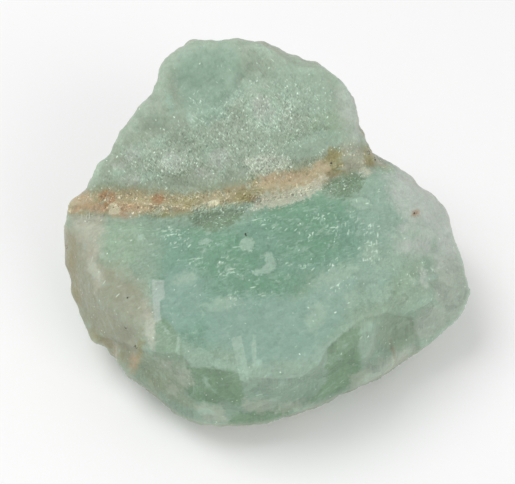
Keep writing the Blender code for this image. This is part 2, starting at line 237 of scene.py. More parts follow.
# %% Patch fields
front = outline((100, 335), (140, 348), (165, 354), (182, 354), (192, 367), (215, 369), (237, 372),
    (250, 377), (280, 379), (302, 376), (318, 365), (327, 348), (345, 332), (362, 320), (385, 312),
    (412, 318), (420, 345), (410, 400), (300, 440), (200, 450), (90, 400))
PATCHES = {
    "aqua": [outline((172, 64), (188, 48), (228, 44), (244, 58), (238, 92), (224, 116), (206, 126),
        (186, 112))],
    "teal": [outline((160, 226), (190, 230), (245, 222), (262, 208), (320, 200), (345, 203), (368, 215),
        (382, 238), (362, 262), (335, 270), (300, 280), (292, 298), (262, 306), (235, 312), (222, 340),
        (195, 350), (162, 330), (158, 280))],
    "jade": [oval(305, 217, 44, 20, -8), oval(312, 246, 32, 15, -4), oval(225, 256, 36, 24, 5),
        oval(265, 285, 40, 12, 0), oval(204, 232, 16, 9)],
    "blue": [outline((205, 305), (240, 296), (300, 300), (330, 276), (365, 268), (352, 300), (335, 335),
        (318, 360), (250, 368), (236, 350), (205, 342)), oval(180, 300, 24, 30)],
    "milk": [oval(386, 212, 28, 44, 10), oval(378, 275, 22, 26), oval(340, 295, 22, 16, -20)],
    "front": [front],
    "rim_band": [np.minimum(-front, outline((182, 342), (205, 353), (235, 364), (262, 368), (290, 367),
        (308, 360), (320, 342), (352, 318), (356, 330), (320, 380), (182, 385)))],
    "pale": [oval(425, 200, 46, 26, 45), oval(446, 250, 14, 40, -10), oval(416, 240, 22, 18),
        oval(424, 280, 5, 6), oval(351, 104, 9, 30, -14)],
    "ash": [oval(454, 292, 20, 36, -15), oval(430, 322, 26, 14, -40), oval(386, 366, 28, 8, -32)],
    "fern": [outline((155, 320), (168, 320), (176, 334), (182, 345), (183, 361), (166, 359), (155, 354))],
    "chalk": [outline((54, 208), (68, 204), (104, 206), (105, 226), (99, 262), (105, 285), (97, 292),
        (86, 262), (78, 236), (70, 222), (54, 220)), oval(349, 158, 9, 12, 20), oval(148, 317, 6, 15, -8)],
    "chip": [outline((88, 258), (93, 261), (102, 275), (100, 284), (95, 278), (88, 270)), outline((148, 317),
        (155, 320), (155, 351), (151, 348), (147, 338), (144, 328))],
    "quartz": [outline((243, 160), (262, 154), (284, 157), (293, 164), (294, 175), (276, 178), (257, 178))],
    "sugar": [outline((250, 209), (261, 194), (285, 190), (308, 183), (320, 175), (326, 177), (321, 188),
        (307, 199), (282, 207)), oval(366, 172, 5, 4, -20)],
    "facet": [outline((157, 361), (171, 362), (172, 372), (164, 371)), outline((175, 367), (190, 372),
        (194, 386), (182, 386), (174, 378)), outline((194, 405), (222, 406), (228, 424), (204, 421)),
        outline((242, 401), (270, 400), (276, 408), (262, 414), (246, 412)), outline((349, 376), (372, 369),
        (370, 384), (350, 388)), outline((394, 354), (420, 346), (412, 362), (384, 374)),
        oval(288, 408, 18, 5, -10), oval(172, 391, 7, 5, 40)],
    "edge_tan": [outline((56, 222), (76, 228), (77, 262), (82, 305), (70, 305), (58, 270)),
        oval(104, 346, 22, 8, 42)],
    "beige": [outline((60, 226), (84, 226), (98, 262), (120, 268), (142, 285), (146, 330), (138, 352),
        (128, 375), (105, 352), (85, 345), (74, 310), (62, 280)), oval(155, 380, 16, 10, 40)],
    "tea": [np.minimum(front, outline((132, 350), (158, 354), (184, 362), (190, 374), (184, 392), (198, 410),
        (176, 404), (155, 388), (136, 370)))],
    "dusk": [oval(204, 178, 40, 13, 2), oval(300, 158, 26, 9, -15), oval(116, 160, 11, 19, 15)],
    "block": [outline((386, 313), (412, 319), (416, 338), (404, 352), (386, 350), (376, 336))],
    "bloom": [oval(131, 154, 9, 7, -20), oval(172, 162, 11, 9), oval(219, 158, 9, 10, 30),
        oval(131, 180, 9, 6), oval(120, 165, 6, 4), oval(203, 172, 9, 5), oval(262, 108, 9, 16, -30)],
    "blocky": [front, oval(425, 300, 46, 34, -40)],
    "haze": [oval(124, 219, 11, 5), oval(120, 172, 9, 6, -10), oval(148, 176, 12, 5), oval(158, 142, 7, 6),
        oval(169, 100, 4, 11, -15), oval(193, 118, 4, 10, -12), oval(135, 151, 14, 7),
        oval(216, 154, 12, 7, 40), oval(262, 104, 16, 32, -30), oval(300, 90, 36, 22, 30),
        oval(185, 279, 11, 6, -20), oval(340, 275, 20, 8, -20), oval(225, 304, 18, 7, -10),
        oval(370, 252, 10, 9), oval(352, 298, 6, 10, 30), oval(229, 80, 7, 14), oval(310, 145, 30, 12, -20),
        oval(395, 262, 22, 7, -25), oval(386, 292, 12, 5, -35), oval(316, 318, 9, 16, 20),
        oval(408, 236, 16, 6, -10)],
    "cream": [outline((109, 204), (114, 202), (120, 206), (121, 214), (109, 215)),
        oval(214, 203, 6, 3, -20)],
    "glass": [oval(352, 157, 12, 15, -5), oval(379, 161, 8, 6, 20)],
    "blush": [oval(74, 203, 20, 10, -12), oval(134, 362, 4, 9, 10), oval(97, 207, 14, 5),
        oval(127, 207, 16, 4, 3), oval(122, 213, 14, 5)],
    "crest": [oval(268, 68, 42, 24, 38)],
    "peach": [outline((257, 178), (275, 171), (296, 172), (306, 175), (316, 166), (328, 168), (322, 181),
        (300, 188), (264, 196)), oval(321, 168, 10, 7, -20)],
    "ochre": [outline((324, 162), (329, 148), (342, 151), (343, 172), (334, 176), (330, 165)),
        oval(368, 156, 3, 9, -10), oval(244, 196, 9, 5), oval(187, 201, 12, 5), oval(141, 347, 3, 11, 5),
        oval(166, 214, 10, 3)],
    "rust": [oval(108, 198, 8, 7), oval(158, 200, 6, 5), oval(415, 214, 3, 3)],
    # the olive patches under the seam's ledge are partly dark green and partly painted shade
    "olive_ledge_shade": [outline((186, 213), (205, 210), (232, 207), (247, 213), (238, 221), (228, 229), (208, 232),
        (194, 226)), outline((321, 188), (330, 176), (350, 172), (366, 176), (360, 190), (345, 198),
        (328, 197))],
    "moss": [np.minimum(front, shape) for shape in (outline((188, 362), (250, 370), (240, 385), (243, 395),
        (241, 406), (228, 402), (210, 405), (196, 400), (187, 392), (183, 382)), outline((327, 340),
        (362, 325), (360, 342), (361, 368), (352, 384), (335, 394), (316, 402), (304, 404), (318, 392),
        (327, 382)), outline((234, 414), (250, 413), (290, 408), (288, 416), (262, 425), (240, 428),
        (226, 426)))],
    "lime": [oval(384, 309, 34, 5, -28), oval(403, 284, 10, 22, 35), oval(324, 125, 16, 16),
        oval(288, 141, 12, 8), oval(120, 245, 22, 26)],
    "flake": [oval(247, 245, 8, 7, -20), oval(205, 243, 6, 3, -10), oval(361, 204, 10, 6, 5),
        outline((264, 252), (271, 253), (276, 262), (275, 269), (268, 275), (256, 276), (248, 271),
        (260, 270), (266, 265)), oval(229, 271, 4, 2, 30), oval(222, 264, 3, 2), oval(242, 277, 2, 2),
        oval(430, 278, 7, 3, -20), oval(190, 118, 3, 8, -12), oval(169, 102, 3, 8, -5),
        oval(141, 238, 4, 3)],
    "cluster": [oval(345, 225, 22, 9, -20), oval(371, 236, 10, 13), oval(320, 216, 14, 5, -10),
        oval(290, 225, 10, 6, -15), oval(301, 268, 12, 4, -10), oval(225, 267, 10, 10),
        oval(235, 300, 13, 7, -30), oval(371, 257, 9, 6, -20), oval(268, 222, 10, 7),
        oval(344, 284, 14, 5, -25), oval(172, 236, 16, 9, 20), oval(148, 212, 20, 6), oval(310, 236, 9, 5),
        oval(255, 292, 12, 5), oval(195, 262, 14, 6), oval(330, 262, 12, 5), oval(418, 275, 14, 4, -20),
        oval(195, 110, 7, 16, -8), oval(276, 118, 24, 14, 10), oval(222, 138, 12, 9), oval(165, 168, 20, 8)],
    "plate": [outline((152, 280), (164, 281), (165, 299), (160, 301), (161, 322), (155, 322), (152, 300))],
    "sliver": [outline((231, 338), (241, 336), (246, 358), (249, 377), (246, 383), (240, 381), (236, 362)),
        oval(254, 352, 2.5, 18), oval(178.5, 347, 2, 10), oval(259, 364, 3.5, 4), oval(167, 332, 4, 2, 50),
        oval(206, 412, 10, 3, 10)],
    "crack": [outline((62, 208), (76, 206), (92, 208), (76, 209)), outline((148, 205), (170, 206),
        (184, 211), (168, 211), (150, 209)), outline((248, 195), (262, 198), (260, 205), (250, 202)),
        oval(394, 353, 1.6, 10, -15)],
    "speck": [oval(x, y, 2.8, 2.8) for x, y in ((246.5, 234.5), (127, 297), (127, 327), (320, 92),
        (326, 162), (331, 164), (373, 160), (367, 146), (415, 214), (368, 153), (66, 247), (136, 347))],
    "sparkle": [oval(264, 123, 60, 36, -12), oval(195, 155, 80, 26, -8), oval(268, 165, 40, 12, 4),
        oval(150, 202, 92, 14, 0), oval(300, 178, 70, 16, -22), oval(385, 160, 12, 8, 30),
        np.minimum(oval(262, 246, 110, 50, -6), -1.7), np.minimum(oval(190, 235, 50, 30, 10), -1.7)],
    "grainy": [outline((244, 160), (262, 155), (284, 158), (293, 166), (294, 176), (320, 170), (330, 176),
        (306, 200), (262, 206), (238, 224), (220, 232), (192, 228), (186, 212), (100, 212), (100, 196),
        (180, 198), (250, 190)), outline((321, 188), (330, 176), (366, 172), (366, 182), (350, 196),
        (328, 198))],
}
print("kinds of patch:", len(PATCHES))

# %% [markdown]
# ## Patches on the hidden sides
# The photo doesn't show the back, the sides and the underside, so a slow noise lays the same kinds of
# patch there. For each kind: how many mm lie between its patches, a shift that is its own, and how
# high the noise must be, so that a higher number gives fewer patches.

# %% Hidden patches
HIDDEN = {
    "aqua": (14, 10, 0.25), "teal": (16, 11, 0.05), "jade": (11, 12, 0.2), "blue": (13, 13, 0.05),
    "milk": (10, 36, 0.2), "front": (20, 14, 0.3), "rim_band": (9, 15, 0.5), "pale": (10, 16, 0.1),
    "ash": (9, 37, 0.25), "fern": (8, 38, 0.4), "chalk": (7, 28, 0.35), "chip": (4, 39, 0.5),
    "quartz": (6, 40, 0.4), "sugar": (6, 41, 0.45), "facet": (5, 35, 0.3), "edge_tan": (9, 29, 0.4),
    "beige": (13, 17, 0.2), "tea": (10, 30, 0.3), "dusk": (12, 48, 0.4), "block": (8, 47, 0.5),
    "bloom": (5, 50, 0.4), "blocky": (14, 49, 0.0), "haze": (5, 18, 0.25), "cream": (6, 19, 0.5),
    "glass": (6, 43, 0.5), "blush": (6, 44, 0.6), "crest": (12, 45, 0.2), "peach": (6, 20, 0.5),
    "ochre": (5, 21, 0.5), "rust": (4, 22, 0.6), "olive_ledge_shade": (8, 23, 0.35), "moss": (9, 31, 0.35),
    "lime": (9, 24, 0.35), "flake": (3, 25, 0.45), "cluster": (4, 46, 0.3), "plate": (4, 26, 0.5),
    "sliver": (3, 32, 0.5), "crack": (6, 33, 0.9), "speck": (1.2, 27, 0.8), "sparkle": (12, 34, 0.0),
    "grainy": (5, 42, 0.35),
}
for name, shapes in PATCHES.items():
    spacing, shift, cut = HIDDEN[name]
    hidden = (slow_noise(spacing, shift) - cut) * spacing / 2
    store(name, np.max(shapes, axis=0) * shown + hidden * (1 - shown))

# %% [markdown]
# ## Dents and knobs of the outline
# The solid follows the photographed outline to about half a millimetre. What is left are dents and knobs
# a few mm wide. A sculpting brush could push them in and out by eye. A short list does the same, and can
# be read and changed: each is a place, a reach in pixels and a height in mm, less than 0 for a dent.

# %% Outline knobs
KNOBS = [
    (448, 212, 16, 0.4), (421, 184, 13, -0.4), (105, 153, 13, -0.5), (153, 90, 14, 0.4),
    (66, 279, 15, -0.55), (63, 245, 22, -0.2), (75, 305, 12, -0.3), (150, 395, 42, -0.33),
    (402, 364, 18, -0.33), (464, 292, 20, 0.33), (457, 318, 16, 0.3), (361, 126, 10, -0.3),
    (373, 150, 9, -0.3), (200, 37, 10, -0.3), (182, 44, 10, -0.15), (128, 118, 16, -0.22),
    (95, 341, 12, 0.25), (286, 50, 13, -0.25), (312, 60, 12, -0.2), (434, 196, 10, 0.2), (88, 180, 9, 0.2),
    (236, 38, 10, 0.2),
]
KNOBS_FROM, KNOBS_RANGE = -0.6, 0.4
nearly_shown = np.clip((facing - KNOBS_FROM) / KNOBS_RANGE, 0, 1)
knobs = np.zeros(count)
for x, y, reach, height in KNOBS:
    nearness = np.clip(1 - ((pixel_x - x) ** 2 + (pixel_y - y) ** 2) / reach ** 2, 0, 1)
    knobs += height * nearness ** 2 * nearly_shown
store("knobs", knobs)

# %% [markdown]
# ## Ridges, hollows and thin edges
# Broken edges of calcite look frosted, because light scatters in their small cracks, and dirt stays in
# the hollows. The big edges of the stone are paler too, since light passes through them. To find all of
# these, we slide every point towards its neighbours many times, and measure how far it had stood out.

# %% Ridge fields
FINE_SLIDES, BROAD_SLIDES = 14, 160


def slid(smooth, slides):
    """The points after they are moved to the middle of their neighbours, this many times."""
    for _ in range(slides):
        total = np.stack([
            np.bincount(first, smooth[second, axis], count) + np.bincount(second, smooth[first, axis], count)
            for axis in range(3)], axis=1)
        smooth = total / neighbours[:, None]
    return smooth


def standing_out(smooth):
    """How many mm each point stands out of the smooth shape."""
    return np.einsum("ij,ij->i", points - smooth, normals) / MM


ends = np.empty(len(skin.edges) * 2, np.int32)
skin.edges.foreach_get("vertices", ends)
first, second = ends.reshape(-1, 2).T
neighbours = np.bincount(first, minlength=count) + np.bincount(second, minlength=count)
fine = slid(points.astype(float), FINE_SLIDES)
store("ridge", standing_out(fine))
store("thin_edge", standing_out(slid(fine, BROAD_SLIDES)))

# %% [markdown]
# ## Wiring nodes
# Relief and colour are both made by node trees. They could be drawn in the node editor. In a script they
# read best as a recipe, so a few helpers add a node, set its inputs and hand back its output. An input
# takes either a number or another node's output.

# %% Helpers for node trees


def connect(tree, socket, value):
    if isinstance(value, bpy.types.NodeSocket):
        tree.links.new(value, socket)
    else:
        socket.default_value = value


def add(tree, kind, inputs=None, **settings):
    node = tree.nodes.new(kind)
    for name, value in settings.items():
        setattr(node, name, value)
    for name, value in (inputs or {}).items():
        connect(tree, node.inputs[name], value)
    return node


def maths(tree, how, *values):
    return add(tree, "ShaderNodeMath", dict(enumerate(values)), operation=how).outputs[0]


def vector_maths(tree, how, *values):
    return add(tree, "ShaderNodeVectorMath", dict(enumerate(values)), operation=how).outputs["Vector"]


def scaled(tree, vector, factor):
    node = add(tree, "ShaderNodeVectorMath", {0: vector, "Scale": factor}, operation="SCALE")
    return node.outputs["Vector"]


def times(tree, *values):
    product = values[0]
    for value in values[1:]:
        product = maths(tree, "MULTIPLY", product, value)
    return product


def plus(tree, *values):
    total = values[0]
    for value in values[1:]:
        total = maths(tree, "ADD", total, value)
    return total


def triple(tree, x, y, z):
    return add(tree, "ShaderNodeCombineXYZ", {"X": x, "Y": y, "Z": z}).outputs[0]


def ramp(tree, value, low, high, to_low=0.0, to_high=1.0):
    """A smooth step: to_low below low, to_high above high."""
    inputs = {"Value": value, "From Min": low, "From Max": high, "To Min": to_low, "To Max": to_high}
    return add(tree, "ShaderNodeMapRange", inputs, interpolation_type="SMOOTHSTEP").outputs["Result"]


def cloud(tree, place, lumps_per_mm, detail=3.0, rough=0.55, warp=0.0):
    """A noise about 0, mostly from -0.25 to 0.25."""
    inputs = {"Vector": place, "Scale": lumps_per_mm, "Detail": detail, "Roughness": rough}
    pattern = add(tree, "ShaderNodeTexNoise", {**inputs, "Distortion": warp})
    return maths(tree, "SUBTRACT", pattern.outputs["Fac"], 0.5)


# %% [markdown]
# ## Relief by Geometry Nodes
# Broken calcite is grainy, chipped and a little lumpy, with knobs along the seam, thin flakes and plates
# that stand proud, and a small step at the rim of the front band. It could be sculpted, or drawn as a
# displacement map. Here it follows rules, so a tree makes it: real geometry, and easy to change. Its
# inputs are sizes in mm, numbers of lumps to a mm, and a seed.

# %% Sizes of the relief
RELIEF = {
    "Swell": 0.2, "Grain Size": 1.1, "Grain Depth": 0.2, "Chip Size": 3.0, "Chip Depth": 0.35,
    "Lumps per mm": 0.3, "Lump Depth": 0.8, "Knobs per mm": 0.8, "Seam Knobs": 0.8, "Tears per mm": 1.0,
    "Tear Depth": 0.8, "Flake Height": 0.12, "Rim Step": 0.3, "Calm Share": 0.5, "Seed": 4.0,
}
TABLE_TOUCH, TABLE_CLEAR = 0.3 * MM, 1.5 * MM
print("relief inputs:", len(RELIEF))

# %% Relief tree


def cells(tree, place, size):
    """A Voronoi pattern whose cells have this size in mm."""
    place = scaled(tree, place, maths(tree, "DIVIDE", 1.0, size))
    return add(tree, "ShaderNodeTexVoronoi", {"Vector": place, "Scale": 1.0}).outputs


def rounded(tree, place, size):
    """Rounded grains of this size in mm: 0.5 in the middle of each, falling to its edges."""
    return maths(tree, "SUBTRACT", 0.5, cells(tree, place, size)["Distance"])


def kept(tree, name):
    """A field that was kept on the skin's points, for Geometry Nodes."""
    return add(tree, "GeometryNodeInputNamedAttribute", {"Name": name}, data_type="FLOAT").outputs[0]


def relief_height(tree, place, given):
    """The height of the relief in mm, from all the rules together."""
    calm_face = times(tree, ramp(tree, kept(tree, "above_seam"), 0.5, -1.0), kept(tree, "shown"))
    rough = ramp(tree, calm_face, 0.0, 1.0, 1.0, given["Calm Share"])
    grains = times(tree, rounded(tree, place, given["Grain Size"]), given["Grain Depth"], rough)
    chips = times(tree, rounded(tree, place, given["Chip Size"]), given["Chip Depth"], rough)
    lumps = times(tree, cloud(tree, place, given["Lumps per mm"], detail=2.0), given["Lump Depth"], rough)
    near_seam = ramp(tree, kept(tree, "in_seam"), -0.3, 0.5)
    knobs = cloud(tree, place, given["Knobs per mm"], detail=2.0, warp=1.0)
    knobs = times(tree, knobs, given["Seam Knobs"], near_seam)
    tears = times(tree, cloud(tree, place, given["Tears per mm"]), given["Tear Depth"])
    flakes = ramp(tree, plus(tree, kept(tree, "flake"), tears), -0.1, 0.1)
    plates = ramp(tree, kept(tree, "plate"), -0.15, 0.15)
    sheets = times(tree, plus(tree, flakes, plates), given["Flake Height"])
    step = times(tree, ramp(tree, kept(tree, "front"), -0.3, 0.3), given["Rim Step"], -1.0)
    return plus(tree, given["Swell"], kept(tree, "knobs"), grains, chips, lumps, knobs, sheets, step)


def relief_tree(material):
    tree = bpy.data.node_groups.new("calcite_relief", "GeometryNodeTree")
    tree.interface.new_socket("Geometry", in_out="INPUT", socket_type="NodeSocketGeometry")
    for name, value in RELIEF.items():
        made = tree.interface.new_socket(name, in_out="INPUT", socket_type="NodeSocketFloat")
        made.default_value = value
    tree.interface.new_socket("Geometry", in_out="OUTPUT", socket_type="NodeSocketGeometry")
    given = add(tree, "NodeGroupInput").outputs

    position = add(tree, "GeometryNodeInputPosition").outputs[0]
    shift = triple(tree, given["Seed"], given["Seed"], 0.0)
    place = vector_maths(tree, "ADD", scaled(tree, position, 1 / MM), shift)
    height = relief_height(tree, place, given)

    normal = add(tree, "GeometryNodeInputNormal").outputs[0]
    rise = add(tree, "ShaderNodeSeparateXYZ", {0: position}).outputs["Z"]
    off_table = ramp(tree, rise, TABLE_TOUCH, TABLE_CLEAR, 0.0, MM)
    offset = scaled(tree, normal, times(tree, height, off_table))
    moved = add(tree, "GeometryNodeSetPosition", {"Geometry": given["Geometry"], "Offset": offset})
    smooth = add(tree, "GeometryNodeSetShadeSmooth", {"Geometry": moved.outputs[0]})
    real = add(tree, "GeometryNodeRealizeInstances", {"Geometry": smooth.outputs[0]})
    finished = add(tree, "GeometryNodeSetMaterial", {"Geometry": real.outputs[0], "Material": material})
    add(tree, "NodeGroupOutput", {"Geometry": finished.outputs[0]})
    return tree


# %% [markdown]
# ## Colours
# Green calcite is never one green: each block, patch and stain has a tone of its own. They are mixed to
# look right in this light, written from 0 to 255 as a screen shows them, and turned into the linear values
# that shaders work in.

# %% Palette


def tone(red, green, blue):
    """A linear colour from the 0 to 255 values that a screen shows."""
    shares = [value / 255 for value in (red, green, blue)]
    linear = [share / 12.92 if share < 0.04 else ((share + 0.055) / 1.055) ** 2.4 for share in shares]
    return (*linear, 1.0)


SAGE = tone(160, 175, 156)
SEA_GREY = tone(158, 174, 155)
AQUA = tone(151, 177, 158)
PALE_GREEN = tone(146, 170, 150)
TEAL = tone(125, 161, 141)
JADE = tone(113, 155, 128)
MILKY_BLUE = tone(140, 171, 156)
MILK = tone(151, 177, 161)
FRONT_GREEN = tone(136, 160, 141)
RIM_GREY = tone(146, 172, 154)
# partly painted shade: the dark olive under the seam's ledge
OLIVE_LEDGE_SHADE = tone(118, 139, 112)
MOSS = tone(114, 144, 113)
TEA = tone(140, 156, 131)
FERN = tone(132, 159, 132)
BLOCK = tone(141, 160, 137)
LAVENDER = tone(190, 197, 188)
ASH = tone(160, 170, 157)
CHALK = tone(186, 183, 166)
CHIP = tone(186, 191, 174)
QUARTZ = tone(188, 196, 179)
SUGAR = tone(199, 200, 179)
# painted light: the paler, warmer glow of light through the thin brim
BRIM_GLOW = tone(172, 168, 154)
GLASS = tone(166, 170, 152)
DUSK = tone(146, 158, 137)
BLUSH = tone(190, 162, 130)
# painted highlight: the warm white of the glints in the seam
WARM_GLINT_WHITE = tone(244, 234, 204)
FACET = tone(167, 177, 160)
BLOOM = tone(178, 184, 174)
VEIL = tone(166, 192, 175)
BEIGE = tone(154, 155, 132)
EDGE_TAN = tone(154, 146, 113)
HAZE = tone(165, 188, 169)
LIME = tone(153, 175, 149)
TAN = tone(163, 152, 117)
PEACH = tone(184, 169, 137)
GOLD = tone(184, 172, 132)
SEAM_GREEN = tone(148, 156, 126)
CREAM = tone(208, 203, 176)
OCHRE = tone(147, 141, 92)
RUST = tone(158, 113, 68)
BROWN = tone(132, 112, 84)
FROST = tone(166, 190, 173)
PLATE = tone(181, 193, 183)
# painted highlight: the white of the glints and bright strokes
GLINT_WHITE = tone(226, 244, 229)
SPECK = tone(58, 54, 40)

# %% [markdown]
# ## Shader groups
# Some effects have a name of their own and are used more than once: the torn edge of a patch, the small
# faces that cleavage makes, the crystal faces inside the stone, silky streaks, and grains that tilt. Each
# is a node group, built once and placed with its own values. A group puts out masks, values or normals
# that change over the surface, and the material picks the colours.

# %% Group of torn edges
FLOAT, VECTOR = "NodeSocketFloat", "NodeSocketVector"


def new_group(name, inputs, outputs):
    """An empty group. An input without a value is a vector, the others are numbers."""
    tree = bpy.data.node_groups.new(name, "ShaderNodeTree")
    for socket, value in inputs.items():
        kind = VECTOR if value is None else FLOAT
        made = tree.interface.new_socket(socket, in_out="INPUT", socket_type=kind)
        if value is not None:
            made.default_value = value
    for socket, kind in outputs.items():
        tree.interface.new_socket(socket, in_out="OUTPUT", socket_type=kind)
    return tree, add(tree, "NodeGroupInput").outputs


def torn_patch():
    """Cuts a patch's field with noise, so that its edge is torn or soft."""
    inputs = {"Field": 0.0, "Place": None, "Tears per mm": 1.0, "Tear Depth": 0.5, "Softness": 0.3}
    tree, given = new_group("torn_patch", inputs, {"Mask": FLOAT})
    tears = cloud(tree, given["Place"], given["Tears per mm"], detail=4.0, rough=0.6)
    torn = plus(tree, given["Field"], times(tree, tears, given["Tear Depth"]))
    low = times(tree, given["Softness"], -1.0)
    add(tree, "NodeGroupOutput", {"Mask": ramp(tree, torn, low, given["Softness"])})
    return tree


TORN = torn_patch()
print("group:", TORN.name)

# %% Groups of cleavage and inner faces


def in_view_plane(tree, place, turn):
    """Turns places so that their first axis lies across the photo's view, at this angle."""
    level = add(tree, "ShaderNodeVectorRotate", {"Vector": place, "Angle": RISE}, rotation_type="X_AXIS")
    inputs = {"Vector": level.outputs[0], "Angle": turn}
    return add(tree, "ShaderNodeVectorRotate", inputs, rotation_type="Y_AXIS").outputs[0]


def chance(tree, colour):
    """A number from 0 to 1 that each cell has for its own."""
    return add(tree, "ShaderNodeSeparateColor", {0: colour}).outputs[0]


def cleavage():
    """Small faces that lie one way, each with its own shade. Nearly all are dull; a rare one is bright."""
    inputs = {"Place": None, "Turn": 0.0, "Length": 0.6, "Width": 0.2, "Rarity": 12.0}
    tree, given = new_group("cleavage", inputs, {"Light": FLOAT, "Shade": FLOAT})
    turned = in_view_plane(tree, given["Place"], given["Turn"])
    size = triple(tree, given["Length"], given["Width"], given["Width"])
    stretched = vector_maths(tree, "DIVIDE", turned, size)
    faces = add(tree, "ShaderNodeTexVoronoi", {"Vector": stretched, "Scale": 1.0}).outputs
    middle = ramp(tree, faces["Distance"], 0.65, 0.3)
    own = chance(tree, faces["Color"])
    light = times(tree, middle, maths(tree, "POWER", own, given["Rarity"]))
    shade = times(tree, middle, maths(tree, "SUBTRACT", own, 0.5))
    add(tree, "NodeGroupOutput", {"Light": light, "Shade": shade})
    return tree


def facets():
    """Crystal faces inside the stone: torn cells, each with a shade of its own, from -0.5 to 0.5."""
    tree, given = new_group("facets", {"Place": None, "Size": 2.0, "Tear Depth": 1.0}, {"Shade": FLOAT})
    noise_inputs = {"Vector": given["Place"], "Scale": 0.9, "Detail": 3.0}
    tears = add(tree, "ShaderNodeTexNoise", noise_inputs).outputs["Color"]
    tears = scaled(tree, vector_maths(tree, "SUBTRACT", tears, (0.5, 0.5, 0.5)), given["Tear Depth"])
    faces = cells(tree, vector_maths(tree, "ADD", given["Place"], tears), given["Size"])
    shade = maths(tree, "SUBTRACT", chance(tree, faces["Color"]), 0.5)
    add(tree, "NodeGroupOutput", {"Shade": shade})
    return tree


CLEAVAGE, FACETS = cleavage(), facets()
print("groups:", CLEAVAGE.name, FACETS.name)

# %% Groups of silk and tilted grains


def silk():
    """Faint streaks along the cleavage, as a value about 0. They come and go in drifts of a few mm."""
    inputs = {"Place": None, "Turn": 0.0, "Length": 4.0, "Width": 0.5}
    tree, given = new_group("silk", inputs, {"Streaks": FLOAT})
    turned = in_view_plane(tree, given["Place"], given["Turn"])
    size = triple(tree, given["Length"], given["Length"], given["Width"])
    stretched = vector_maths(tree, "DIVIDE", turned, size)
    streaks = cloud(tree, stretched, 1.0, detail=2.0, rough=0.6, warp=0.7)
    shift = triple(tree, times(tree, given["Turn"], 40.0), 0.0, 0.0)
    elsewhere = vector_maths(tree, "ADD", given["Place"], shift)
    drift = ramp(tree, cloud(tree, elsewhere, 0.22, detail=2.0), -0.1, 0.1, 0.15, 1.0)
    add(tree, "NodeGroupOutput", {"Streaks": times(tree, streaks, drift)})
    return tree


def tilted_grains():
    """Normals that tilt from grain to grain, so that a few of them catch the light."""
    inputs = {"Place": None, "Size": 0.5, "Tilt": 0.5}
    tree, given = new_group("tilted_grains", inputs, {"Normal": VECTOR})
    own = cells(tree, given["Place"], given["Size"])["Color"]
    lean = scaled(tree, vector_maths(tree, "SUBTRACT", own, (0.5, 0.5, 0.5)), given["Tilt"])
    surface = add(tree, "ShaderNodeNewGeometry").outputs["Normal"]
    normal = vector_maths(tree, "NORMALIZE", vector_maths(tree, "ADD", surface, lean))
    add(tree, "NodeGroupOutput", {"Normal": normal})
    return tree


SILK, GRAINS = silk(), tilted_grains()
print("groups:", SILK.name, GRAINS.name)

# %% [markdown]
# ## Washes and stains
# The colour is laid on as a painter would: the body tone of each block first, then the teal of the lower
# face, milky, beige and olive patches, the olive ones partly their own dark green and partly painted shade
# under the seam's ledge, then the stained seam, pale flakes and the painted glow of the brim. One picture
# wrapped round the stone could do it too, but washes stay sharp at any size and can be changed one by one.
# A wash is a field, a colour, how strong it is, how many tears its edge has to a mm, how deep they are,
# and its softness.

# %% Washes and stains
WASHES = [
    ("aqua", AQUA, 0.9, 0.4, 4.0, 1.5), ("teal", TEAL, 1.0, 0.4, 4.0, 2.0),
    ("jade", JADE, 0.8, 0.8, 4.0, 1.4), ("blue", MILKY_BLUE, 0.85, 0.5, 4.0, 1.3),
    ("milk", MILK, 0.8, 0.5, 4.0, 2.2), ("front", FRONT_GREEN, 0.9, 1.2, 0.3, 0.1),
    ("lime", LIME, 0.65, 0.8, 3.0, 1.2), ("beige", BEIGE, 0.9, 0.5, 4.0, 1.8),
    ("tea", TEA, 0.75, 0.9, 2.0, 0.5), ("edge_tan", EDGE_TAN, 0.7, 0.6, 2.0, 0.7),
    ("rim_band", RIM_GREY, 0.55, 1.2, 0.3, 0.3), ("pale", LAVENDER, 0.85, 0.5, 4.0, 1.5),
    ("ash", ASH, 0.8, 0.6, 3.0, 1.0), ("fern", FERN, 0.85, 0.8, 1.2, 0.35),
    ("dusk", DUSK, 0.7, 0.7, 3.0, 1.2), ("block", BLOCK, 0.75, 0.9, 2.5, 0.9),
    ("chalk", CHALK, 0.75, 0.8, 3.0, 1.2), ("haze", HAZE, 0.6, 1.0, 3.0, 0.6),
    # the olive wash is partly painted shade under the seam's ledge
    ("bloom", BLOOM, 0.6, 1.1, 3.0, 0.6), ("olive_ledge_shade", OLIVE_LEDGE_SHADE, 0.85, 1.6, 3.5, 0.4),
    ("moss", MOSS, 0.85, 1.0, 2.0, 0.3), ("facet", FACET, 0.65, 1.2, 2.4, 0.5),
    ("quartz", QUARTZ, 0.85, 1.8, 2.5, 0.3),
]
